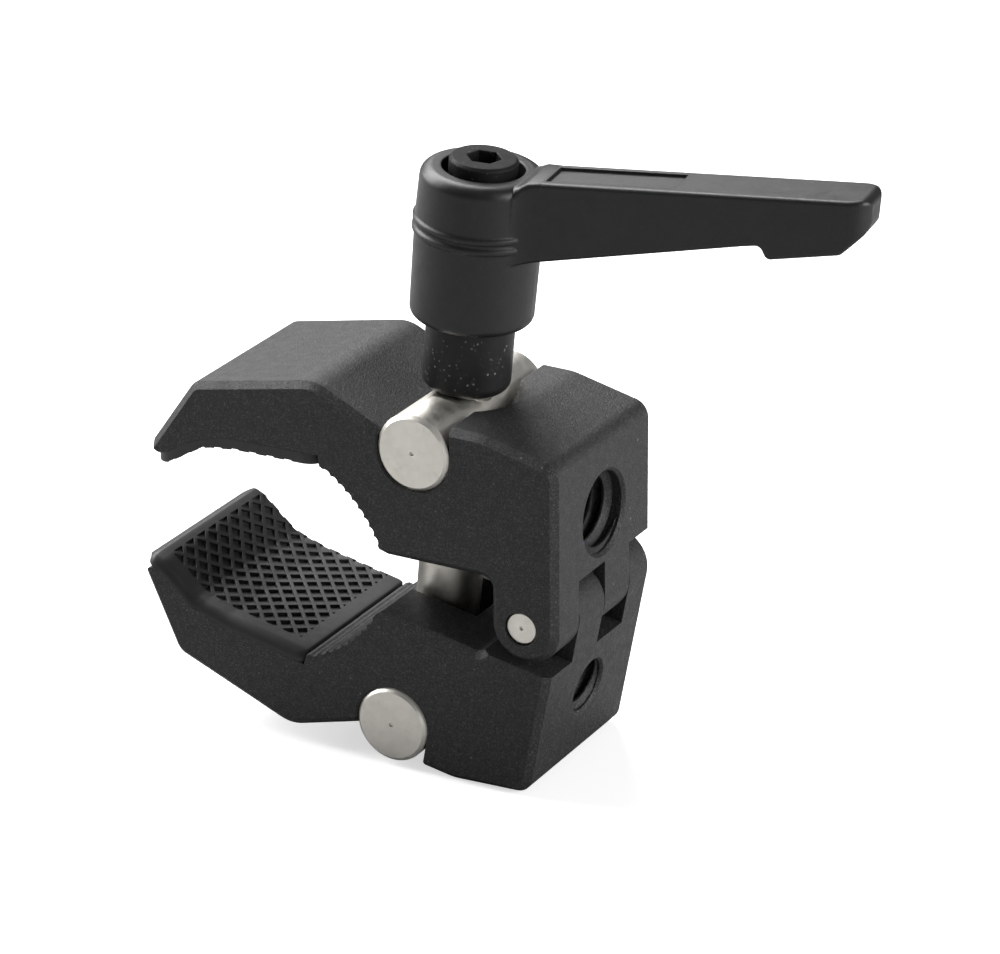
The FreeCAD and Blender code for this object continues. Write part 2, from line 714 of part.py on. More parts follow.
    # inner teeth that drop into the insert's grooves
    tooth_sketch = new_sketch(body, "clamp_handle_tooth_outline", "XY_Plane", worth(tooth_foot))
    inner = "Sheet.insert_tooth_diameter / 2 - Sheet.tooth_groove_depth + Sheet.tooth_gap"
    half = "(Sheet.tooth_groove_width / 2 - Sheet.tooth_gap)"
    outer = "Sheet.insert_tooth_diameter / 2 + Sheet.tooth_root"
    corners = [(inner, f"-{half}"), (outer, f"-{half}"), (outer, half), (inner, half)]
    draw_stepped(tooth_sketch, corners)
    length = f"Sheet.hub_web_foot - ({tooth_foot})"
    tooth = extrude("Pad", body, "clamp_handle_tooth", tooth_sketch, length, both_sides=False)
    repeat_teeth(body, "clamp_handle_teeth", tooth)
    return body


SPRING_FOOT = dim("hub_web_top") + dim("spring_wire") / 2 + dim("running_gap")


def make_handle_spring():
    """Compression spring round the retaining screw, drawn from its foot on the hub's web up."""
    wire = dim("spring_wire") / 2
    coil = dim("spring_diameter") / 2 - wire
    rise = dim("screw_head_level") - dim("running_gap") - wire - SPRING_FOOT
    count = int(dim("spring_turns") * dim("spring_points_per_turn"))
    step = 2 * math.pi / dim("spring_points_per_turn")
    course = Part.BSplineCurve()
    course.interpolate(
        [
            Vector(coil * math.cos(i * step), coil * math.sin(i * step), rise * i / count)
            for i in range(count + 1)
        ]
    )
    section = Part.Wire(Part.makeCircle(wire, Vector(coil, 0, 0), Vector(0, 1, 0)))
    spring = doc.addObject("Part::Feature", "handle_spring")
    spring.Label = "handle_spring"
    spring.Shape = Part.Wire(course.toShape()).makePipeShell([section], True, True)
    return spring


upper_jaw = make_upper_jaw()
lower_jaw = make_lower_jaw()
upper_pad = make_pad("upper_pad", 1)
place(upper_pad)
lower_pad = make_pad("lower_pad", -1)
place(lower_pad, angle="Sheet.rest_angle")
hinge_pin = make_hinge_pin()

# The cross pins stand equally far from the hinge, so the screw axis always turns half as far as
# the lower jaw does.
UPPER_PIN = ("-Sheet.cross_pin_forward", "Sheet.cross_pin_offset", "Sheet.rest_angle / 2")
COSINE = "cos(Sheet.rest_angle * 1 deg)"
SINE = "sin(Sheet.rest_angle * 1 deg)"
LOWER_PIN_X = f"-Sheet.cross_pin_forward * {COSINE} - Sheet.cross_pin_offset * {SINE}"
LOWER_PIN_Z = f"Sheet.cross_pin_forward * {SINE} - Sheet.cross_pin_offset * {COSINE}"
HALF_COSINE = "cos(Sheet.rest_angle / 2 * 1 deg)"
HALF_SINE = "sin(Sheet.rest_angle / 2 * 1 deg)"

running_hole = "Sheet.bolt_thread_diameter + 4 * Sheet.running_gap"
tapped_hole = "Sheet.bolt_thread_diameter + Sheet.running_gap"
upper_cross_pin = make_cross_pin("upper_cross_pin", running_hole)
place(upper_cross_pin, *UPPER_PIN)
lower_cross_pin = make_cross_pin("lower_cross_pin", tapped_hole)
place(lower_cross_pin, LOWER_PIN_X, LOWER_PIN_Z, "Sheet.rest_angle / 2")
draw_bolt = make_draw_bolt()
foot_x = f"{LOWER_PIN_X} - Sheet.bolt_foot * {HALF_SINE}"
foot_z = f"{LOWER_PIN_Z} - Sheet.bolt_foot * {HALF_COSINE}"
place(draw_bolt, foot_x, foot_z, "Sheet.rest_angle / 2")

# The lever's pieces stand on the screw axis, turned together so that their teeth mesh.
lever_insert = make_lever_insert()
retaining_screw = make_retaining_screw()
clamp_handle = make_clamp_handle()
handle_spring = make_handle_spring()
tilt = Rotation(Vector(0, 1, 0), dim("rest_angle") / 2)
swing = Rotation(Vector(0, 0, 1), dim("arm_direction"))
lever_place = Placement(upper_cross_pin.Placement.Base, tilt * swing)
lever_insert.Placement = lever_place
retaining_screw.Placement = lever_place
clamp_handle.Placement = lever_place
handle_spring.Placement = lever_place * Placement(Vector(0, 0, SPRING_FOOT), Rotation())

SUB_PARTS = [
    upper_jaw,
    lower_jaw,
    upper_pad,
    lower_pad,
    hinge_pin,
    upper_cross_pin,
    lower_cross_pin,
    draw_bolt,
    lever_insert,
    retaining_screw,
    clamp_handle,
    handle_spring,
]

doc.recompute()
for item in doc.Objects:
    if "Invalid" in item.State or "Error" in item.State:
        raise RuntimeError(f"{item.Label} did not recompute: {item.State}")
for part in SUB_PARTS:
    if part.Shape.isNull() or not part.Shape.isValid():
        raise RuntimeError(f"{part.Label} has no valid shape")
    if len(part.Shape.Solids) != 1:
        raise RuntimeError(f"{part.Label} has {len(part.Shape.Solids)} solids")

os.makedirs("parts", exist_ok=True)
for part in SUB_PARTS:
    part.Shape.exportStep(f"parts/{part.Label}.step")
    print(part.Label, round(part.Shape.Volume, 1))
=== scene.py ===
import json
import math

import bmesh
import bpy
from mathutils import Matrix, Vector


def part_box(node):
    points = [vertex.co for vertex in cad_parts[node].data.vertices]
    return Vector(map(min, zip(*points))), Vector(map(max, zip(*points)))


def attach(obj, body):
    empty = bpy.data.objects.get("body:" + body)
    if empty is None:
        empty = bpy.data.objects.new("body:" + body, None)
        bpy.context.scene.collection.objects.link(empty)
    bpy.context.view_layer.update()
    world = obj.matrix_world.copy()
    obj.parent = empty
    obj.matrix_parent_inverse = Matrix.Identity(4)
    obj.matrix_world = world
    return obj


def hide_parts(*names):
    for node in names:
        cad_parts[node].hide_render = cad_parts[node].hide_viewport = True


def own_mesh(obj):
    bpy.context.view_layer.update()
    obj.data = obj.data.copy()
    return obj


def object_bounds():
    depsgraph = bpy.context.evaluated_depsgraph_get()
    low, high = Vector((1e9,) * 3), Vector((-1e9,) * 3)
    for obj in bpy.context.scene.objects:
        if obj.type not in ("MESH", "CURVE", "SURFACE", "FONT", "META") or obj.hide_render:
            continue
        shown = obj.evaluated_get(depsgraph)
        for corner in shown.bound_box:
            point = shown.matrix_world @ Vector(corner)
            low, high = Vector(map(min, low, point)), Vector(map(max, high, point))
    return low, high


# Super clamp: the visible model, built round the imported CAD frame. Sizes are in millimetres and
# become metres through MM. A pad is drawn in its jaw's own frame, which has the hinge as its
# origin; the lower jaw is the upper one mirrored in Z and turned about the hinge by REST_ANGLE.

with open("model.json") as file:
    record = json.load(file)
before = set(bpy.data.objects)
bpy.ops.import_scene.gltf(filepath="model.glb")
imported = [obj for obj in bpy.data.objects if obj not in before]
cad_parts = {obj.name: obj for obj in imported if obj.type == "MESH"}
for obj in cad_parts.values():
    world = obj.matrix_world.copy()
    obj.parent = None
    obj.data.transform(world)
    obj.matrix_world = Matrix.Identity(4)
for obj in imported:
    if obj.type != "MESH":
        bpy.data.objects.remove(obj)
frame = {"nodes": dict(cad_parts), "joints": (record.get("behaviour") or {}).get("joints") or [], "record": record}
cad_low, cad_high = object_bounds()

MM = 0.001
MM_PER_INCH = 25.4
NODES = frame["nodes"]
JOINTS = {joint["name"]: joint for joint in frame["joints"]}
MOUNTS = {mount["name"]: mount for mount in frame["record"]["mounts"]}
SCREW_AXIS = Vector(JOINTS["screw_turn"]["axis"])
SCREW_POINT = Vector(JOINTS["screw_turn"]["pos_m"])
LOWER_PIN_POINT = Vector(JOINTS["lower_pin_pivot"]["pos_m"])
HINGE_POINT = Vector(JOINTS["jaw_hinge"]["pos_m"])
REST_ANGLE = 2 * math.atan2(SCREW_AXIS.x, SCREW_AXIS.z)
HALF_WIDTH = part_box("upper_jaw")[1].y / MM

# ---------------------------------------------------------------- node helpers


class Shader:
    """Builds one node material. Values passed in are numbers, colours or other nodes' outputs."""

    def __init__(self, name):
        self.material = bpy.data.materials.new(name)
        self.material.use_nodes = True
        self.tree = self.material.node_tree
        self.bsdf = self.tree.nodes["Principled BSDF"]

    def add(self, kind, **settings):
        node = self.tree.nodes.new(kind)
        for key, value in settings.items():
            if key.startswith("in_"):
                node.inputs[key[3:].replace("_", " ")].default_value = value
            else:
                setattr(node, key, value)
        return node

    def link(self, out, into):
        self.tree.links.new(out, into)

    def put(self, value, socket):
        """Sets a socket to a number or colour, or links another node's output to it."""
        if isinstance(value, (int, float, tuple)):
            socket.default_value = value
        else:
            self.link(value, socket)

    def place(self):
        """Coordinates that stay with the piece."""
        return self.add("ShaderNodeTexCoord").outputs["Object"]

    def noise(self, scale, detail=3.0, roughness=0.5, at=None):
        node = self.add("ShaderNodeTexNoise", in_Scale=scale, in_Detail=detail)
        node.inputs["Roughness"].default_value = roughness
        self.link(at or self.place(), node.inputs["Vector"])
        return node.outputs["Fac"]

    def ramp(self, value, stops):
        """Maps a value to grey levels; stops are (position, level)."""
        node = self.add("ShaderNodeValToRGB")
        elements = node.color_ramp.elements
        while len(elements) < len(stops):
            elements.new(0.5)
        for element, (position, level) in zip(elements, stops):
            element.position = position
            element.color = grey(level)
        self.link(value, node.inputs["Fac"])
        return node.outputs["Color"]

    def math(self, operation, first, second=0.0):
        node = self.add("ShaderNodeMath", operation=operation)
        for socket, value in zip(node.inputs, (first, second)):
            self.put(value, socket)
        return node.outputs[0]

    def product(self, *factors):
        """Multiplies two or more values together."""
        result = factors[0]
        for factor in factors[1:]:
            result = self.math("MULTIPLY", result, factor)
        return result

    def mix(self, factor, first, second):
        node = self.add("ShaderNodeMix", data_type="RGBA")
        wanted = (("Factor", "VALUE", factor), ("A", "RGBA", first), ("B", "RGBA", second))
        for name, kind, value in wanted:
            self.put(value, next(s for s in node.inputs if s.name == name and s.type == kind))
        return next(s for s in node.outputs if s.type == "RGBA")

    def bump(self, height, strength, distance, normal=None):
        node = self.add("ShaderNodeBump", in_Strength=strength, in_Distance=distance)
        self.link(height, node.inputs["Height"])
        if normal:
            self.link(normal, node.inputs["Normal"])
        return node.outputs["Normal"]

    def soft_edges(self, radius):
        """The normal with edges rounded to a radius, and a mask that is 1 on those edges, which the materials use
        to paint lighter edges as painted edge highlights.
        """
        bevel = self.add("ShaderNodeBevel", samples=4, in_Radius=radius)
        geometry = self.add("ShaderNodeNewGeometry")
        dot = self.add("ShaderNodeVectorMath", operation="DOT_PRODUCT")
        self.link(bevel.outputs["Normal"], dot.inputs[0])
        self.link(geometry.outputs["Normal"], dot.inputs[1])
        mask = self.ramp(dot.outputs["Value"], [(0.80, 1.0), (0.99, 0.0)])
        return bevel.outputs["Normal"], mask

    def finish(self, colour, roughness, normal, metallic=0.0, specular=0.5):
        settings = {
            "Base Color": colour,
            "Roughness": roughness,
            "Normal": normal,
            "Metallic": metallic,
            "Specular IOR Level": specular,
        }
        for name, value in settings.items():
            self.put(value, self.bsdf.inputs[name])
        return self.material


def grey(level):
    return (level, level, level, 1)


# ---------------------------------------------------------------- materials


def jaw_black():
    """Bead-blasted, black anodised aluminium: fine sparkling grain, dust specks, and edges painted lighter, partly
    as rubbed wear and partly as painted edge highlight.
    """
    s = Shader("jaw_black")
    rounded, edge = s.soft_edges(0.14 * MM)
    grain = s.noise(4800, 3, 0.7)
    pits = s.noise(2600, 2, 0.6)
    base = s.mix(s.noise(260, 4), grey(0.0065), grey(0.0095))
    glint = s.ramp(grain, [(0.51, 0.0), (0.68, 1.0)])
    base = s.mix(glint, base, grey(0.062))
    dust = s.ramp(s.noise(1700, 2, 0.5), [(0.735, 0.0), (0.76, 0.9)])
    base = s.mix(dust, base, grey(0.13))
    # edges painted lighter in patches: partly rubbed wear, partly painted edge highlight
    edge_wear_and_highlight = s.ramp(s.noise(2200, 4, 0.7), [(0.35, 0.35), (0.65, 1.0)])
    colour = s.mix(s.product(edge, edge_wear_and_highlight, 0.7), base, grey(0.075))
    rough = s.ramp(s.noise(900, 3), [(0.3, 0.46), (0.7, 0.6)])
    height = s.math("ADD", s.product(pits, 0.5), grain)
    normal = s.bump(height, 1.0, 0.09 * MM, rounded)
    return s.finish(colour, rough, normal, specular=0.5)


def handle_black():
    """Satin black powder coat on a die casting: slight orange peel, fine scratches, and scuffed edges painted
    lighter, partly as wear and partly as painted edge highlight.
    """
    s = Shader("handle_black")
    rounded, edge = s.soft_edges(0.32 * MM)
    stretched = s.add("ShaderNodeMapping")
    stretched.inputs["Scale"].default_value = (60, 1500, 1500)
    stretched.inputs["Rotation"].default_value = (0.2, 0.5, 0.3)
    s.link(s.place(), stretched.inputs["Vector"])
    streaks = s.noise(1.0, 5, 0.65, stretched.outputs["Vector"])
    scratch = s.ramp(streaks, [(0.68, 0.0), (0.73, 1.0)])
    peel = s.noise(1500, 2, 0.4)
    grain = s.noise(4600, 2, 0.6)
    base = s.mix(s.noise(300, 4), grey(0.0060), grey(0.0085))
    base = s.mix(s.ramp(grain, [(0.6, 0.0), (0.78, 0.6)]), base, grey(0.028))
    colour = s.mix(s.product(scratch, 0.3), base, grey(0.05))
    # edges painted lighter in patches: partly scuffed wear, partly painted edge highlight
    edge_wear_and_highlight = s.ramp(s.noise(1800, 4, 0.7), [(0.4, 0.2), (0.65, 1.0)])
    colour = s.mix(s.product(edge, edge_wear_and_highlight, 0.5), colour, grey(0.06))
    rough = s.ramp(s.noise(500, 5, 0.7), [(0.3, 0.34), (0.7, 0.47)])
    height = s.math("ADD", s.product(grain, 0.5), peel)
    normal = s.bump(height, 0.26, 0.04 * MM, rounded)
    return s.finish(colour, rough, normal, specular=0.5)


def oxide_steel(name, rough_low, rough_high, dust, specular):
    """Black oxide steel with turning marks; dust is how much pale dust clings to it."""
    s = Shader(name)
    rounded, edge = s.soft_edges(0.2 * MM)
    flat = s.add("ShaderNodeMapping")
    flat.inputs["Scale"].default_value = (120, 120, 4200)
    s.link(s.place(), flat.inputs["Vector"])
    lines = s.noise(1.0, 3, 0.6, flat.outputs["Vector"])
    specks = s.add("ShaderNodeTexVoronoi", feature="F1", in_Scale=1500.0)
    s.link(s.place(), specks.inputs["Vector"])
    thin = s.ramp(specks.outputs["Distance"], [(0.13, 1.0), (0.24, 0.0)])
    patch = s.ramp(s.noise(420, 3, 0.6), [(0.46, 0.0), (0.6, 1.0)])
    cling = s.product(thin, patch, dust)
    film = s.ramp(s.noise(1300, 6, 0.8), [(0.54, 0.0), (0.70, 0.55)])
    smear = s.product(film, patch, dust)
    base = s.mix(s.noise(300, 4), grey(0.007), grey(0.014))
    # painted edge highlight: every sharp edge is lightened towards grey
    base = s.mix(s.product(edge, 0.5), base, grey(0.09))
    base = s.mix(smear, base, grey(0.075))
    colour = s.mix(cling, base, grey(0.17))
    rough = s.ramp(s.noise(500, 4, 0.6), [(0.3, rough_low), (0.7, rough_high)])
    normal = s.bump(lines, 0.15, 0.02 * MM, rounded)
    return s.finish(colour, rough, normal, specular=specular)


def turned_steel(name, centre, axis=(0, 1, 0)):
    """Satin stainless steel, turned and faced on a lathe: fine rings about its own axis."""
    s = Shader(name)
    rounded, edge = s.soft_edges(0.08 * MM)
    shift = s.add("ShaderNodeVectorMath", operation="SUBTRACT")
    shift.inputs[1].default_value = centre
    s.link(s.place(), shift.inputs[0])
    along = s.add("ShaderNodeVectorMath", operation="DOT_PRODUCT")
    around = s.add("ShaderNodeVectorMath", operation="CROSS_PRODUCT")
    radius = s.add("ShaderNodeVectorMath", operation="LENGTH")
    for node in (along, around):
        s.link(shift.outputs["Vector"], node.inputs[0])
        node.inputs[1].default_value = axis
    s.link(around.outputs["Vector"], radius.inputs[0])
    joined = s.add("ShaderNodeCombineXYZ")
    s.link(s.product(radius.outputs["Value"], 9000.0), joined.inputs["X"])
    s.link(s.product(along.outputs["Value"], 5000.0), joined.inputs["Y"])
    rings = s.noise(1.0, 3, 0.6, joined.outputs["Vector"])
    mottle = s.noise(900, 4, 0.6)
    colour = s.mix(mottle, (0.70, 0.67, 0.605, 1), (0.88, 0.85, 0.785, 1))
    stain = s.ramp(s.noise(260, 5, 0.7), [(0.58, 0.0), (0.75, 0.35)])
    colour = s.mix(stain, colour, (0.30, 0.285, 0.25, 1))
    # painted edge highlight: the chamfers and edges are lightened towards pale steel
    colour = s.mix(s.product(edge, 0.6), colour, (0.85, 0.84, 0.80, 1))
    rough = s.ramp(s.noise(650, 4, 0.6), [(0.3, 0.34), (0.7, 0.48)])
    normal = s.bump(rings, 0.22, 0.02 * MM, rounded)
    return s.finish(colour, rough, normal, metallic=1.0)


def grip_rubber():
    """Moulded black rubber: soft bloom, tiny pores."""
    s = Shader("grip_rubber")
    rounded, edge = s.soft_edges(0.08 * MM)
    pores = s.noise(4200, 3, 0.6)
    bloom = s.noise(420, 5, 0.65)
    base = s.mix(bloom, grey(0.013), grey(0.022))
    # painted edge highlight: the pad's edges are lightened on the black rubber
    colour = s.mix(s.product(edge, 0.35), base, grey(0.06))
    rough = s.ramp(s.noise(900, 4, 0.6), [(0.3, 0.42), (0.7, 0.56)])
    normal = s.bump(pores, 0.22, 0.03 * MM, rounded)
    return s.finish(colour, rough, normal, specular=0.5)


def spring_wire():
    """Drawn spring wire: fine lines, slightly stained."""
    s = Shader("spring_wire")
    fine = s.noise(5000, 3, 0.6)
    colour = s.mix(s.noise(800, 3), grey(0.32), grey(0.5))
    rough = s.ramp(fine, [(0.3, 0.28), (0.7, 0.45)])
    return s.finish(colour, rough, s.bump(fine, 0.2, 0.01 * MM), metallic=1.0)


def dried_compound():
    """Blue thread compound left in the accessory hole."""
    s = Shader("dried_compound")
    patchy = s.noise(3000, 4, 0.6)
    colour = s.mix(patchy, (0.005, 0.025, 0.07, 1), (0.02, 0.09, 0.2, 1))
    rough = s.ramp(patchy, [(0.3, 0.3), (0.7, 0.6)])
    return s.finish(colour, rough, s.bump(patchy, 0.4, 0.03 * MM))


# How much light the floor gives back to the clamp, and how much it glows for the camera alone.
FLOOR_BOUNCE = 0.42
FLOOR_GLOW = 0.6


def pale_floor():
    """Plain white paper. The camera sees it lit through, as a light table would be."""
    s = Shader("pale_floor")
    fibre = s.noise(900, 4, 0.6)
    colour = s.mix(fibre, grey(0.86), grey(0.88))
    seen = s.add("ShaderNodeLightPath").outputs["Is Camera Ray"]
    colour = s.mix(seen, grey(FLOOR_BOUNCE), colour)
    s.put(grey(1.0), s.bsdf.inputs["Emission Color"])
    s.put(s.product(seen, FLOOR_GLOW), s.bsdf.inputs["Emission Strength"])
    return s.finish(colour, 0.9, s.bump(fibre, 0.03, 0.05 * MM), specular=0.1)


# ---------------------------------------------------------------- mesh helpers

# A corner arc has a point every ARC_STEP radians or closer; points nearer than SAME_POINT are one.
ARC_STEP = 0.25
SAME_POINT = 1e-5


def new_piece(name, mesh_data, material, body, smooth_angle=35.0):
    """Makes an object from a bmesh in metres, dresses it and puts it on its body."""
    mesh = bpy.data.meshes.new(name)
    bmesh.ops.recalc_face_normals(mesh_data, faces=mesh_data.faces)
    mesh_data.to_mesh(mesh)
    mesh_data.free()
    mesh.materials.append(material)
    mesh.polygons.foreach_set("use_smooth", [True] * len(mesh.polygons))
    mesh.set_sharp_from_angle(angle=math.radians(smooth_angle))
    piece = bpy.data.objects.new(name, mesh)
    bpy.context.scene.collection.objects.link(piece)
    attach(piece, body)
    return piece


def rounded_path(corners, step):
    """Points along straight lines and corner arcs; corners are (x, z, radius)."""
    path = [Vector(corners[0][:2])]
    for before, corner, after in zip(corners, corners[1:], corners[2:]):
        spot = Vector(corner[:2])
        back = (Vector(before[:2]) - spot).normalized()
        ahead = (Vector(after[:2]) - spot).normalized()
        half = back.angle(ahead) / 2
        if corner[2] == 0:
            path.append(spot)
            continue
        reach = corner[2] / math.tan(half)
        middle = spot + (back + ahead).normalized() * (corner[2] / math.sin(half))
        start = spot + back * reach - middle
        sweep = start.angle_signed(spot + ahead * reach - middle)
        count = max(2, math.ceil(abs(sweep) / ARC_STEP))
        for i in range(count + 1):
            turn = Matrix.Rotation(-sweep * i / count, 2)
            path.append(middle + turn @ start)
    path.append(Vector(corners[-1][:2]))
    fine = [path[0]]
    for one, other in zip(path, path[1:]):
        length = (other - one).length
        if length < SAME_POINT:
            continue
        pieces = max(1, math.ceil(length / step))
        fine += [one.lerp(other, (i + 1) / pieces) for i in range(pieces)]
    return fine


def skin(mesh_data, rings):
    """Joins closed rings of points one after another into a tube and caps both its ends."""
    for one, following in zip(rings, rings[1:]):
        for j in range(len(one)):
            k = (j + 1) % len(one)
            mesh_data.faces.new((one[j], following[j], following[k], one[k]))
    mesh_data.faces.new(rings[0])
    mesh_data.faces.new(rings[-1][::-1])


# ---------------------------------------------------------------- grip pads

# Side outline of a pad in its jaw's own frame, as (x, z, corner radius) with z towards the jaw:
# front wall, nose, grip face, rear wall.
PAD_OUTLINE = [
    (-48.1, 11.65, 0),
    (-48.3, 11.15, 0.3),
    (-47.25, 10.45, 0.8),
    (-45.7, 10.8, 2.5),
    (-40.9, 13.65, 5.0),
    (-36.5, 14.15, 8.0),
    (-25.6, 14.3, 0.4),
    (-25.6, 15.72, 0),
]
# Back of a pad, from its rear end to its nose, on the jaw's seat.
PAD_BACK = [
    (-25.6, 15.72, 0),
    (-26.1, 15.71, 0),
    (-26.7, 15.69, 0),
    (-37.0, 15.47, 8.0),
    (-41.0, 14.72, 8.0),
    (-46.2, 11.97, 1.5),
    (-48.1, 11.65, 0),
]
# Longest straight pieces that the two outlines are divided into.
OUTLINE_STEP = 0.5
BACK_STEP = 1.0

# The pattern's limits on the unrolled grip side, along the pad and, at its rimmed edge, across it.
# At the open edge it runs out over the side.
PATTERN_START = 2.78
PATTERN_END = 21.88
PATTERN_RIM = -8.7
# Half of a diamond pocket along and across the pad, and the place of one pocket's middle.
POCKET_ALONG = 1.155
POCKET_ACROSS = 1.21
POCKET_SHIFT = 12.053
# Depth of a pocket, how much of it is left at the open edge, and how far in it is full again.
POCKET_DEPTH = 0.32
DEPTH_AT_EDGE = 0.4
DEPTH_RUN = 0.6
# Half widths of a pocket's floor and rim, in pitches, and the width of the pattern's end walls.
POCKET_FLOOR_HALF = 0.338
POCKET_RIM_HALF = 0.372
END_WALL = 0.06
# Rows across the middle of the pad, and the closest that two rows along it may come.
MIDDLE_ROWS = [-4.0, 0.0, 4.0, 8.0]
CLOSEST_ROWS = 0.02
# Slack for comparing places along and at the edges, and the least distance between two points.
SLACK = 1e-4
EDGE_SLACK = 1e-3
MERGE = 2e-4
# The rounded edges stop this far short of the pad's back.
LEAST_THICKNESS = 0.01

# Rounding along the rimmed edge (side -1) and the open edge (side 1), then at the corners seen
# from above, by side and end (end -1 is the nose).
EDGE_ROUNDS = {-1: 1.3, 1: 0.2}
CORNER_ROUNDS = {(-1, -1): 1.7, (-1, 1): 1.0, (1, -1): 1.2, (1, 1): 0.8}
# The upper pad is cut back further at the two corners of its near edge.
UPPER_CORNER_ROUNDS = {**CORNER_ROUNDS, (1, -1): 3.2, (1, 1): 2.2}


def inside_pattern(face):
    centre = face.calc_center_median()
    return PATTERN_START < centre.x < PATTERN_END and centre.y > PATTERN_RIM


def slice_pattern(sheet, x, normal):
    """Cuts the pattern's flat faces along a line through (x, 0), so that a row of edges is on it."""
    faces = [face for face in sheet.faces if inside_pattern(face)]
    edges = dict.fromkeys(edge for face in faces for edge in face.edges)
    verts = dict.fromkeys(vert for face in faces for vert in face.verts)
    bmesh.ops.bisect_plane(
        sheet,
        geom=[*faces, *edges, *verts],
        dist=SAME_POINT,
        plane_co=(x, 0, 0),
        plane_no=(normal.x, normal.y, 0),
    )


def lattice(x, y):
    """Place in the diamond lattice: pockets are centred where both numbers are whole."""
    along = (x - POCKET_SHIFT) / POCKET_ALONG
    across = y / POCKET_ACROSS
    return (along + across) / 2, (along - across) / 2


def flat_pad_sheet(stations):
    """The unrolled grip side: x is distance along the outline and y is across the pad."""
    sheet = bmesh.new()
    curve = [1 - math.cos(math.radians(angle)) for angle in range(0, 91, 15)]
    rim = [-HALF_WIDTH + EDGE_ROUNDS[-1] * step for step in curve]
    open_edge = [HALF_WIDTH - EDGE_ROUNDS[1] * step for step in curve]
    middle = [PATTERN_RIM, PATTERN_RIM + END_WALL] + MIDDLE_ROWS
    columns = sorted(set(round(y, 4) for y in rim + middle + open_edge))
    walls = [PATTERN_START, PATTERN_START + END_WALL, PATTERN_END - END_WALL, PATTERN_END]
    wanted = sorted(set(round(x, 4) for x in stations + walls))
    rows = wanted[:1]
    for before, x in zip(wanted, wanted[1:]):
        if x in walls or x - before > CLOSEST_ROWS:
            rows.append(x)
    grid = [[sheet.verts.new((x, y, 0)) for y in columns] for x in rows]
    for one, other in zip(grid, grid[1:]):
        for j in range(len(columns) - 1):
            sheet.faces.new((one[j], other[j], other[j + 1], one[j + 1]))
    corners = [(x, y) for x in (PATTERN_START, PATTERN_END) for y in (PATTERN_RIM, HALF_WIDTH)]
    places = [lattice(x, y) for x, y in corners]
    for family, tilt in ((0, 1), (1, -1)):
        low = math.floor(min(place[family] for place in places))
        high = math.ceil(max(place[family] for place in places))
        normal = Vector((1 / POCKET_ALONG, tilt / POCKET_ACROSS)).normalized()
        for number in range(low, high + 1):
            for offset in (-POCKET_RIM_HALF, -POCKET_FLOOR_HALF, POCKET_FLOOR_HALF, POCKET_RIM_HALF):
                slice_pattern(sheet, POCKET_SHIFT + 2 * (number + offset) * POCKET_ALONG, normal)
    return sheet


def pocket_depth(x, y):
    """How far a point of the unrolled pad sinks into a pocket."""
    in_length = PATTERN_START + END_WALL - SLACK <= x <= PATTERN_END - END_WALL + SLACK
    if not in_length or y < PATTERN_RIM + END_WALL - SLACK:
        return 0.0
    offsets = [abs(place - round(place)) for place in lattice(x, y)]
    if max(offsets) > POCKET_FLOOR_HALF + SLACK:
        return 0.0
    return POCKET_DEPTH * min(1.0, max(DEPTH_AT_EDGE, (HALF_WIDTH - y) / DEPTH_RUN))


def edge_drop(y):
    """The quarter-round along the pad's two long edges."""
    radius = EDGE_ROUNDS[-1 if y < 0 else 1]
    inset = HALF_WIDTH - abs(y)
    if inset >= radius:
        return 0.0
    return radius - math.sqrt(max(0.0, radius**2 - (radius - inset) ** 2))


def corner_plan(x, y, rounds):
    """Rounds the pad's corners seen from above, by drawing its long edges in near both ends."""
    first = PAD_OUTLINE[0][0]
    last = PAD_OUTLINE[-1][0]
    from_middle = x - (first + last) / 2
    radius = rounds[-1 if y < 0 else 1, -1 if from_middle < 0 else 1]
    into = abs(from_middle) - ((last - first) / 2 - radius)
    start = HALF_WIDTH - radius
    if into <= 0 or abs(y) <= start:
        return y
    limit = math.sqrt(max(0.0, radius**2 - min(into, radius) ** 2))
    return math.copysign(start + (abs(y) - start) * limit / radius, y)


def level_at(path, x):
    """Height of a path that runs towards -x, at one x."""
    for one, other in zip(path, path[1:]):
        if other.x <= x <= one.x:
            share = (one.x - x) / (one.x - other.x)
            return one.y + (other.y - one.y) * share
    return path[0].y if x > path[0].x else path[-1].y


def stations_along(outline):
    """Distance of each point of an outline from its start."""
    stations = [0.0]
    for one, other in zip(outline, outline[1:]):
        stations.append(stations[-1] + (other - one).length)
    return stations


def normals_along(outline):
    """The outward direction at each point of an outline."""
    normals = []
    for i in range(len(outline)):
        run = (outline[min(i + 1, len(outline) - 1)] - outline[max(i - 1, 0)]).normalized()
        normals.append(Vector((run.y, -run.x)))
    return normals


def roll_up(sheet, outline, stations, back, rounds):
    """Bends the flat sheet along the outline; returns the points of its two long edges."""
    normals = normals_along(outline)
    last = len(stations) - 2
    rims = {-1: {}, 1: {}}
    for vert in sheet.verts:
        x, y = vert.co.x, vert.co.y
        i = next((k for k in range(last) if stations[k + 1] >= x), last)
        share = min(1.0, max(0.0, (x - stations[i]) / (stations[i + 1] - stations[i])))
        normal = normals[i].lerp(normals[i + 1], share).normalized()
        place = outline[i].lerp(outline[i + 1], share) - normal * pocket_depth(x, y)
        above_back = max(place.y, level_at(back, place.x) - LEAST_THICKNESS)
        level = min(place.y + edge_drop(y), above_back)
        if abs(abs(y) - HALF_WIDTH) < EDGE_SLACK:
            rims[1 if y > 0 else -1][round(x, 4)] = vert
        vert.co = (place.x, corner_plan(place.x, y, rounds), level)
    return rims


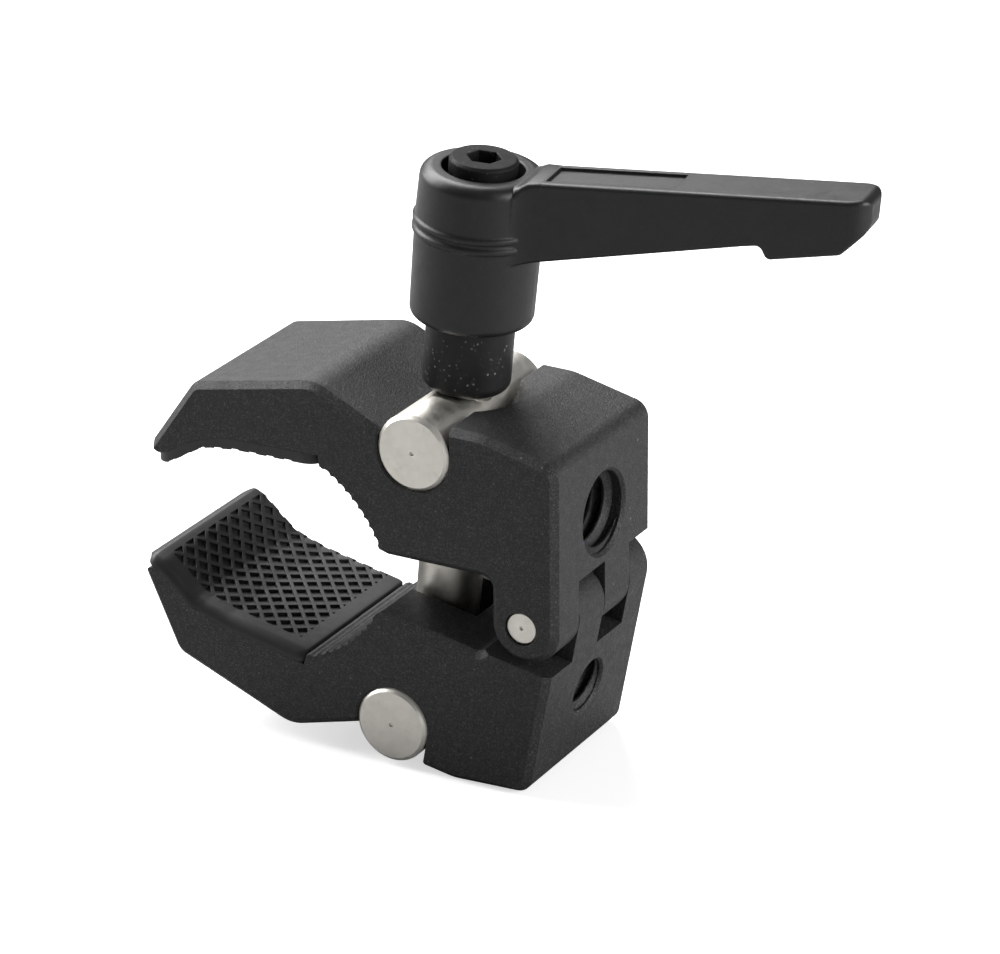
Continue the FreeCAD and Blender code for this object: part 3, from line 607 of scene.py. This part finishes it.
def close_pad(sheet, rims, back, rounds):
    """Adds the pad's two long side walls and its back, and joins all into one closed skin."""
    loops = {}
    for side in (-1, 1):
        rim = [rims[side][x] for x in sorted(rims[side])]
        y = side * HALF_WIDTH
        inner = [sheet.verts.new((p.x, corner_plan(p.x, y, rounds), p.y)) for p in back[1:-1]]
        loops[side] = [rim[-1]] + inner + [rim[0]]
        sheet.faces.new(rim + inner)
    near = loops[-1]
    far = loops[1]
    for i in range(len(near) - 1):
        sheet.faces.new((near[i], near[i + 1], far[i + 1], far[i]))
    bmesh.ops.remove_doubles(sheet, verts=sheet.verts, dist=MERGE)
    bmesh.ops.triangulate(sheet, faces=[face for face in sheet.faces if len(face.verts) > 4])


def make_pad(name, node, body, side, material):
    """A grip pad with a diamond lattice of ribs, closed on its jaw's seat; side 1 is the upper."""
    rounds = UPPER_CORNER_ROUNDS if side > 0 else CORNER_ROUNDS
    outline = rounded_path(PAD_OUTLINE, OUTLINE_STEP)
    back = rounded_path(PAD_BACK, BACK_STEP)
    stations = stations_along(outline)
    sheet = flat_pad_sheet(stations)
    rims = roll_up(sheet, outline, stations, back, rounds)
    close_pad(sheet, rims, back, rounds)
    # the upper pad is the same moulding turned over, so its open edge is on the near side
    to_frame = Matrix.Diagonal((MM, -MM * side, MM * side, 1))
    if side < 0:
        to_frame = Matrix.Rotation(REST_ANGLE, 4, "Y") @ to_frame
    sheet.transform(Matrix.Translation(HINGE_POINT) @ to_frame)
    pad = new_piece(name, sheet, material, body, 28.0)
    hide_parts(node)
    return pad


# ---------------------------------------------------------------- screw threads

THREADS_PER_INCH = {"large_accessory_thread": 16, "small_accessory_thread": 20}
# Shape of the ridge, in pitches: its height, and half its widths at the root and at the crest.
RIDGE_HEIGHT = 0.54
RIDGE_ROOT_HALF = 0.46
RIDGE_CREST_HALF = 0.09
# The root lies this deep in the CAD bore's wall.
RIDGE_ROOT_DEPTH = 0.015
# The ridge leaves half a pitch free at its inner end and a quarter at its mouth.
INNER_GAP = 0.5
MOUTH_GAP = 0.25
# It rises from nothing in a few points and runs out over part of a turn.
THREAD_POINTS_PER_TURN = 64
RIDGE_RISE_POINTS = 4
RIDGE_RUN_OUT_TURNS = 0.3


def make_thread(name, mount_name, body, material):
    """The helical ridge of an accessory hole's thread, inside the CAD bore."""
    mount = MOUNTS[mount_name]
    major = mount["dims"]["r_mm"]
    length = mount["dims"]["length_mm"]
    pitch = MM_PER_INCH / THREADS_PER_INCH[mount_name]
    crest = major - RIDGE_HEIGHT * pitch
    root = major + RIDGE_ROOT_DEPTH
    axis = Vector(mount["axis"])
    side = axis.orthogonal().normalized()
    other = axis.cross(side)
    middle = Vector(mount["pos_m"])
    start = -length / 2 + INNER_GAP * pitch
    turns = (length - (INNER_GAP + MOUTH_GAP) * pitch) / pitch
    count = int(THREAD_POINTS_PER_TURN * turns)
    ridge = bmesh.new()
    rings = []
    for i in range(count + 1):
        angle = 2 * math.pi * i / THREAD_POINTS_PER_TURN
        run_out = (count - i) / (RIDGE_RUN_OUT_TURNS * THREAD_POINTS_PER_TURN)
        fade = min(1.0, run_out, (i + 1) / RIDGE_RISE_POINTS)
        tip = root + (crest - root) * fade
        along = start + pitch * i / THREAD_POINTS_PER_TURN
        section = [
            (root, -RIDGE_ROOT_HALF * pitch * fade),
            (tip, -RIDGE_CREST_HALF * pitch),
            (tip, RIDGE_CREST_HALF * pitch),
            (root, RIDGE_ROOT_HALF * pitch * fade),
        ]
        outward = side * math.cos(angle) + other * math.sin(angle)
        ring = [middle + (axis * (along + a) + outward * r) * MM for r, a in section]
        rings.append([ridge.verts.new(point) for point in ring])
    skin(ridge, rings)
    return new_piece(name, ridge, material, body, 40.0)


# Dried crumbs in the large thread: how many, how flat, how lumpy, and how far in from its wall.
CRUMBS = 14
CRUMB_FLATNESS = 0.6
CRUMB_WOBBLE = 0.3
CRUMB_INSET = 0.5


def make_compound_specks(name, material):
    """Flattened crumbs of dried compound on the near flanks of the large thread."""
    mount = MOUNTS["large_accessory_thread"]
    middle = Vector(mount["pos_m"])
    reach = mount["dims"]["r_mm"] - CRUMB_INSET
    crumbs = bmesh.new()
    for i in range(CRUMBS):
        # places and sizes step round without repeating, which looks scattered
        angle = math.radians(150 + 61 * i % 75)
        depth = 2.4 + (i * 0.83) % 2.6
        spot = middle + Vector((depth, reach * math.cos(angle), reach * math.sin(angle))) * MM
        size = (0.16 + 0.1 * ((i * 7) % 5) / 5) * MM
        made = bmesh.ops.create_icosphere(crumbs, subdivisions=2, radius=size)
        for vert in made["verts"]:
            bumps = math.sin(vert.co.x / size * 5 + i) * math.cos(vert.co.z / size * 4)
            flat = Vector((vert.co.x, vert.co.y * CRUMB_FLATNESS, vert.co.z))
            vert.co = spot + flat * (1 + CRUMB_WOBBLE * bumps)
    return new_piece(name, crumbs, material, "upper_jaw", 60.0)


# ---------------------------------------------------------------- lever spring

# Radii of the wire and of the coil, and heights of the first and last coil above the upper pin.
WIRE_RADIUS = 0.25
COIL_RADIUS = 3.55
SPRING_FOOT = 23.1
SPRING_HEAD = 27.9
SPRING_TURNS = 4
COIL_POINTS_PER_TURN = 48
WIRE_POINTS = 12


def make_spring(name, material):
    """Coil spring round the retaining screw, built at one fixed length; the real spring shortens as the lever is
    lifted.
    """
    up = SCREW_AXIS
    side = up.orthogonal().normalized()
    other = up.cross(side)
    count = SPRING_TURNS * COIL_POINTS_PER_TURN
    spring = bmesh.new()
    rings = []
    for i in range(count + 1):
        angle = 2 * math.pi * i / COIL_POINTS_PER_TURN
        outward = side * math.cos(angle) + other * math.sin(angle)
        level = SPRING_FOOT + (SPRING_HEAD - SPRING_FOOT) * i / count
        centre = SCREW_POINT + (up * level + outward * COIL_RADIUS) * MM
        ring = []
        for j in range(WIRE_POINTS):
            turn = 2 * math.pi * j / WIRE_POINTS
            offset = outward * math.cos(turn) + up * math.sin(turn)
            ring.append(spring.verts.new(centre + offset * WIRE_RADIUS * MM))
        rings.append(ring)
    skin(spring, rings)
    piece = new_piece(name, spring, material, "insert", 50.0)
    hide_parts("handle_spring")
    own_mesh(piece)
    return piece


# ---------------------------------------------------------------- root of the lever's arm

# The blend between hub and arm, in the lever's own frame: +X along the arm, +Z up the screw.
ARM_TURN = math.radians(7.5)
HUB_RADIUS = 7.1
HUB_TOP = 30.38
ARM_HALF = 3.4
FLARE_RADIUS = 4.0
FLARE_MIDDLE = math.sqrt((HUB_RADIUS + FLARE_RADIUS) ** 2 - (ARM_HALF + FLARE_RADIUS) ** 2)
FLARE_START = FLARE_MIDDLE * HUB_RADIUS / (HUB_RADIUS + FLARE_RADIUS)
# The blend stands this proud of the CAD arm's sides, and narrows by TUCK per mm into the hub.
PROUD = 0.015
TUCK = 0.5
TUCK_LENGTH = 0.5
# Along the arm it starts inside the hub, is level with the arm's top over EASE_LENGTH, starts to
# sink into the arm at SINK_START and is hidden in it at its end.
BLEND_START = 4.9
BLEND_END = 8.05
EASE_LENGTH = 1.6
SINK_START = 7.85
SINK_SLOPE = 0.3
ARM_TOP_AT_ROOT = 30.81
ARM_SLOPE = 0.162
# Rounding of its top edges: the CAD arm's, and how much more there is at the hub.
ARM_ROUNDING = 0.45
HUB_ROUNDING_EXTRA = 0.75
ROUNDING_LENGTH = 2.4
# How far its sides reach down, and how far they draw in there to hide in the CAD arm.
BLEND_DEPTH = 2.6
BLEND_DRAW_IN = 0.1
BLEND_STATIONS = 24
BLEND_ARC_STEPS = 6


def root_half_width(x):
    """Half the arm's width where it flares into the hub, a hair proud of the CAD arm."""
    reach = FLARE_MIDDLE - min(max(x, FLARE_START), FLARE_MIDDLE)
    flared = ARM_HALF + FLARE_RADIUS - math.sqrt(FLARE_RADIUS**2 - reach**2)
    return flared + PROUD - TUCK * max(0.0, FLARE_START + TUCK_LENGTH - x)


def root_top(x):
    """Height of the blend's top, from the hub's top to the arm's and then down into the arm."""
    share = min(1.0, (x - BLEND_START) / EASE_LENGTH)
    eased = share * share * (3 - 2 * share)
    line = ARM_TOP_AT_ROOT + ARM_SLOPE * (x - BLEND_START)
    return HUB_TOP + (line - HUB_TOP) * eased - SINK_SLOPE * max(0.0, x - SINK_START)


def root_section(x):
    """The blend's outline across the arm, up one side and down the other, as (y, z)."""
    half = root_half_width(x)
    top = root_top(x)
    hub_share = max(0.0, 1 - (x - BLEND_START) / ROUNDING_LENGTH)
    rounding = ARM_ROUNDING + HUB_ROUNDING_EXTRA * hub_share
    near = [(half - BLEND_DRAW_IN, top - BLEND_DEPTH)]
    for j in range(BLEND_ARC_STEPS + 1):
        angle = math.pi / 2 * j / BLEND_ARC_STEPS
        inset = rounding * (1 - math.cos(angle))
        near.append((half - inset, top - rounding * (1 - math.sin(angle))))
    return near + [(-y, z) for y, z in reversed(near)]


def make_handle_root(name, material):
    """Smooth casting blend that carries the hub's top rim on to the arm's top edges."""
    root = bmesh.new()
    rings = []
    for i in range(BLEND_STATIONS + 1):
        x = BLEND_START + (BLEND_END - BLEND_START) * i / BLEND_STATIONS
        rings.append([root.verts.new((x, y, z)) for y, z in root_section(x)])
    skin(root, rings)
    swing = Matrix.Rotation(REST_ANGLE / 2, 4, "Y") @ Matrix.Rotation(ARM_TURN, 4, "Z")
    root.transform(Matrix.Translation(SCREW_POINT) @ swing @ Matrix.Scale(MM, 4))
    return new_piece(name, root, material, "handle", 40.0)


# ---------------------------------------------------------------- build the object

JAW_BLACK = jaw_black()
RUBBER = grip_rubber()
FINISHES = {
    "upper_jaw": JAW_BLACK,
    "lower_jaw": JAW_BLACK,
    "upper_pad": RUBBER,
    "lower_pad": RUBBER,
    "hinge_pin": turned_steel("hinge_pin_steel", HINGE_POINT),
    "upper_cross_pin": turned_steel("upper_pin_steel", SCREW_POINT),
    "lower_cross_pin": turned_steel("lower_pin_steel", LOWER_PIN_POINT),
    "draw_bolt": turned_steel("draw_bolt_steel", SCREW_POINT, SCREW_AXIS),
    "lever_insert": oxide_steel("insert_oxide", 0.34, 0.48, 1.0, 0.26),
    "retaining_screw": oxide_steel("screw_oxide", 0.42, 0.56, 0.3, 0.12),
    "clamp_handle": handle_black(),
    "handle_spring": spring_wire(),
}
for node_name, finish in FINISHES.items():
    node = NODES[node_name]
    node.data.materials.clear()
    node.data.materials.append(finish)

make_pad("upper_grip_pad", "upper_pad", "upper_jaw", 1, RUBBER)
make_pad("lower_grip_pad", "lower_pad", "lower_jaw", -1, RUBBER)
make_thread("large_thread_ridge", "large_accessory_thread", "upper_jaw", JAW_BLACK)
make_thread("small_thread_ridge", "small_accessory_thread", "lower_jaw", JAW_BLACK)
make_compound_specks("thread_compound", dried_compound())
make_spring("lever_spring", FINISHES["handle_spring"])
make_handle_root("handle_root_blend", FINISHES["clamp_handle"])

# ---------------------------------------------------------------- stage, light and camera


PAPER_HALF_SIZE = 3.0


def make_floor():
    mesh = bpy.data.meshes.new("floor")
    corners = [(-1, -1), (1, -1), (1, 1), (-1, 1)]
    points = [(x * PAPER_HALF_SIZE, y * PAPER_HALF_SIZE, cad_low.z) for x, y in corners]
    mesh.from_pydata(points, [], [(0, 1, 2, 3)])
    mesh.materials.append(pale_floor())
    floor = bpy.data.objects.new("floor", mesh)
    bpy.context.scene.collection.objects.link(floor)


def add_softbox(name, place, target, size, power):
    light = bpy.data.lights.new(name, "AREA")
    light.shape = "RECTANGLE"
    light.size = size[0]
    light.size_y = size[1]
    light.energy = power
    lamp = bpy.data.objects.new(name, light)
    lamp.location = place
    lamp.rotation_euler = (Vector(target) - Vector(place)).to_track_quat("-Z", "Y").to_euler()
    bpy.context.scene.collection.objects.link(lamp)


def light_scene():
    world = bpy.data.worlds.new("studio")
    world.use_nodes = True
    background = world.node_tree.nodes["Background"]
    background.inputs["Color"].default_value = (0.95, 0.97, 1.0, 1)
    background.inputs["Strength"].default_value = 0.17
    bpy.context.scene.world = world
    centre = (cad_low + cad_high) / 2
    add_softbox("top_softbox", (-0.6, 0.45, 0.8), centre, (0.8, 0.7), 15.0)
    add_softbox("rear_softbox", (0.9, 0.1, 0.12), centre, (0.7, 0.9), 14.5)
    add_softbox("left_softbox", (-0.9, 0.0, 0.5), centre, (0.6, 0.7), 11.0)


# The photograph's camera: its direction, its place seen from the hinge, and its lens.
CAMERA_AZIMUTH = math.radians(29.219)
CAMERA_ELEVATION = math.radians(23.148)
CAMERA_ROLL = math.radians(-0.442)
CAMERA_PLACE = HINGE_POINT + Vector((0.2239, -0.4159, 0.2160))
CAMERA_LENS = 166.75
CAMERA_SENSOR = 36.0


def make_camera():
    camera = bpy.data.cameras.new("camera")
    camera.lens = CAMERA_LENS
    camera.sensor_width = CAMERA_SENSOR
    camera.clip_start = 0.01
    level = Vector((math.cos(CAMERA_AZIMUTH), math.sin(CAMERA_AZIMUTH), 0))
    back = Vector(
        (
            math.sin(CAMERA_AZIMUTH) * math.cos(CAMERA_ELEVATION),
            -math.cos(CAMERA_AZIMUTH) * math.cos(CAMERA_ELEVATION),
            math.sin(CAMERA_ELEVATION),
        )
    )
    upright = back.cross(level)
    right = level * math.cos(CAMERA_ROLL) + upright * math.sin(CAMERA_ROLL)
    up = back.cross(right)
    holder = bpy.data.objects.new("camera", camera)
    facing = Matrix((right, up, back)).transposed().to_4x4()
    holder.matrix_world = Matrix.Translation(CAMERA_PLACE) @ facing
    bpy.context.scene.collection.objects.link(holder)
    bpy.context.scene.camera = holder


make_floor()
light_scene()
make_camera()
bpy.context.scene.view_settings.view_transform = "Standard"
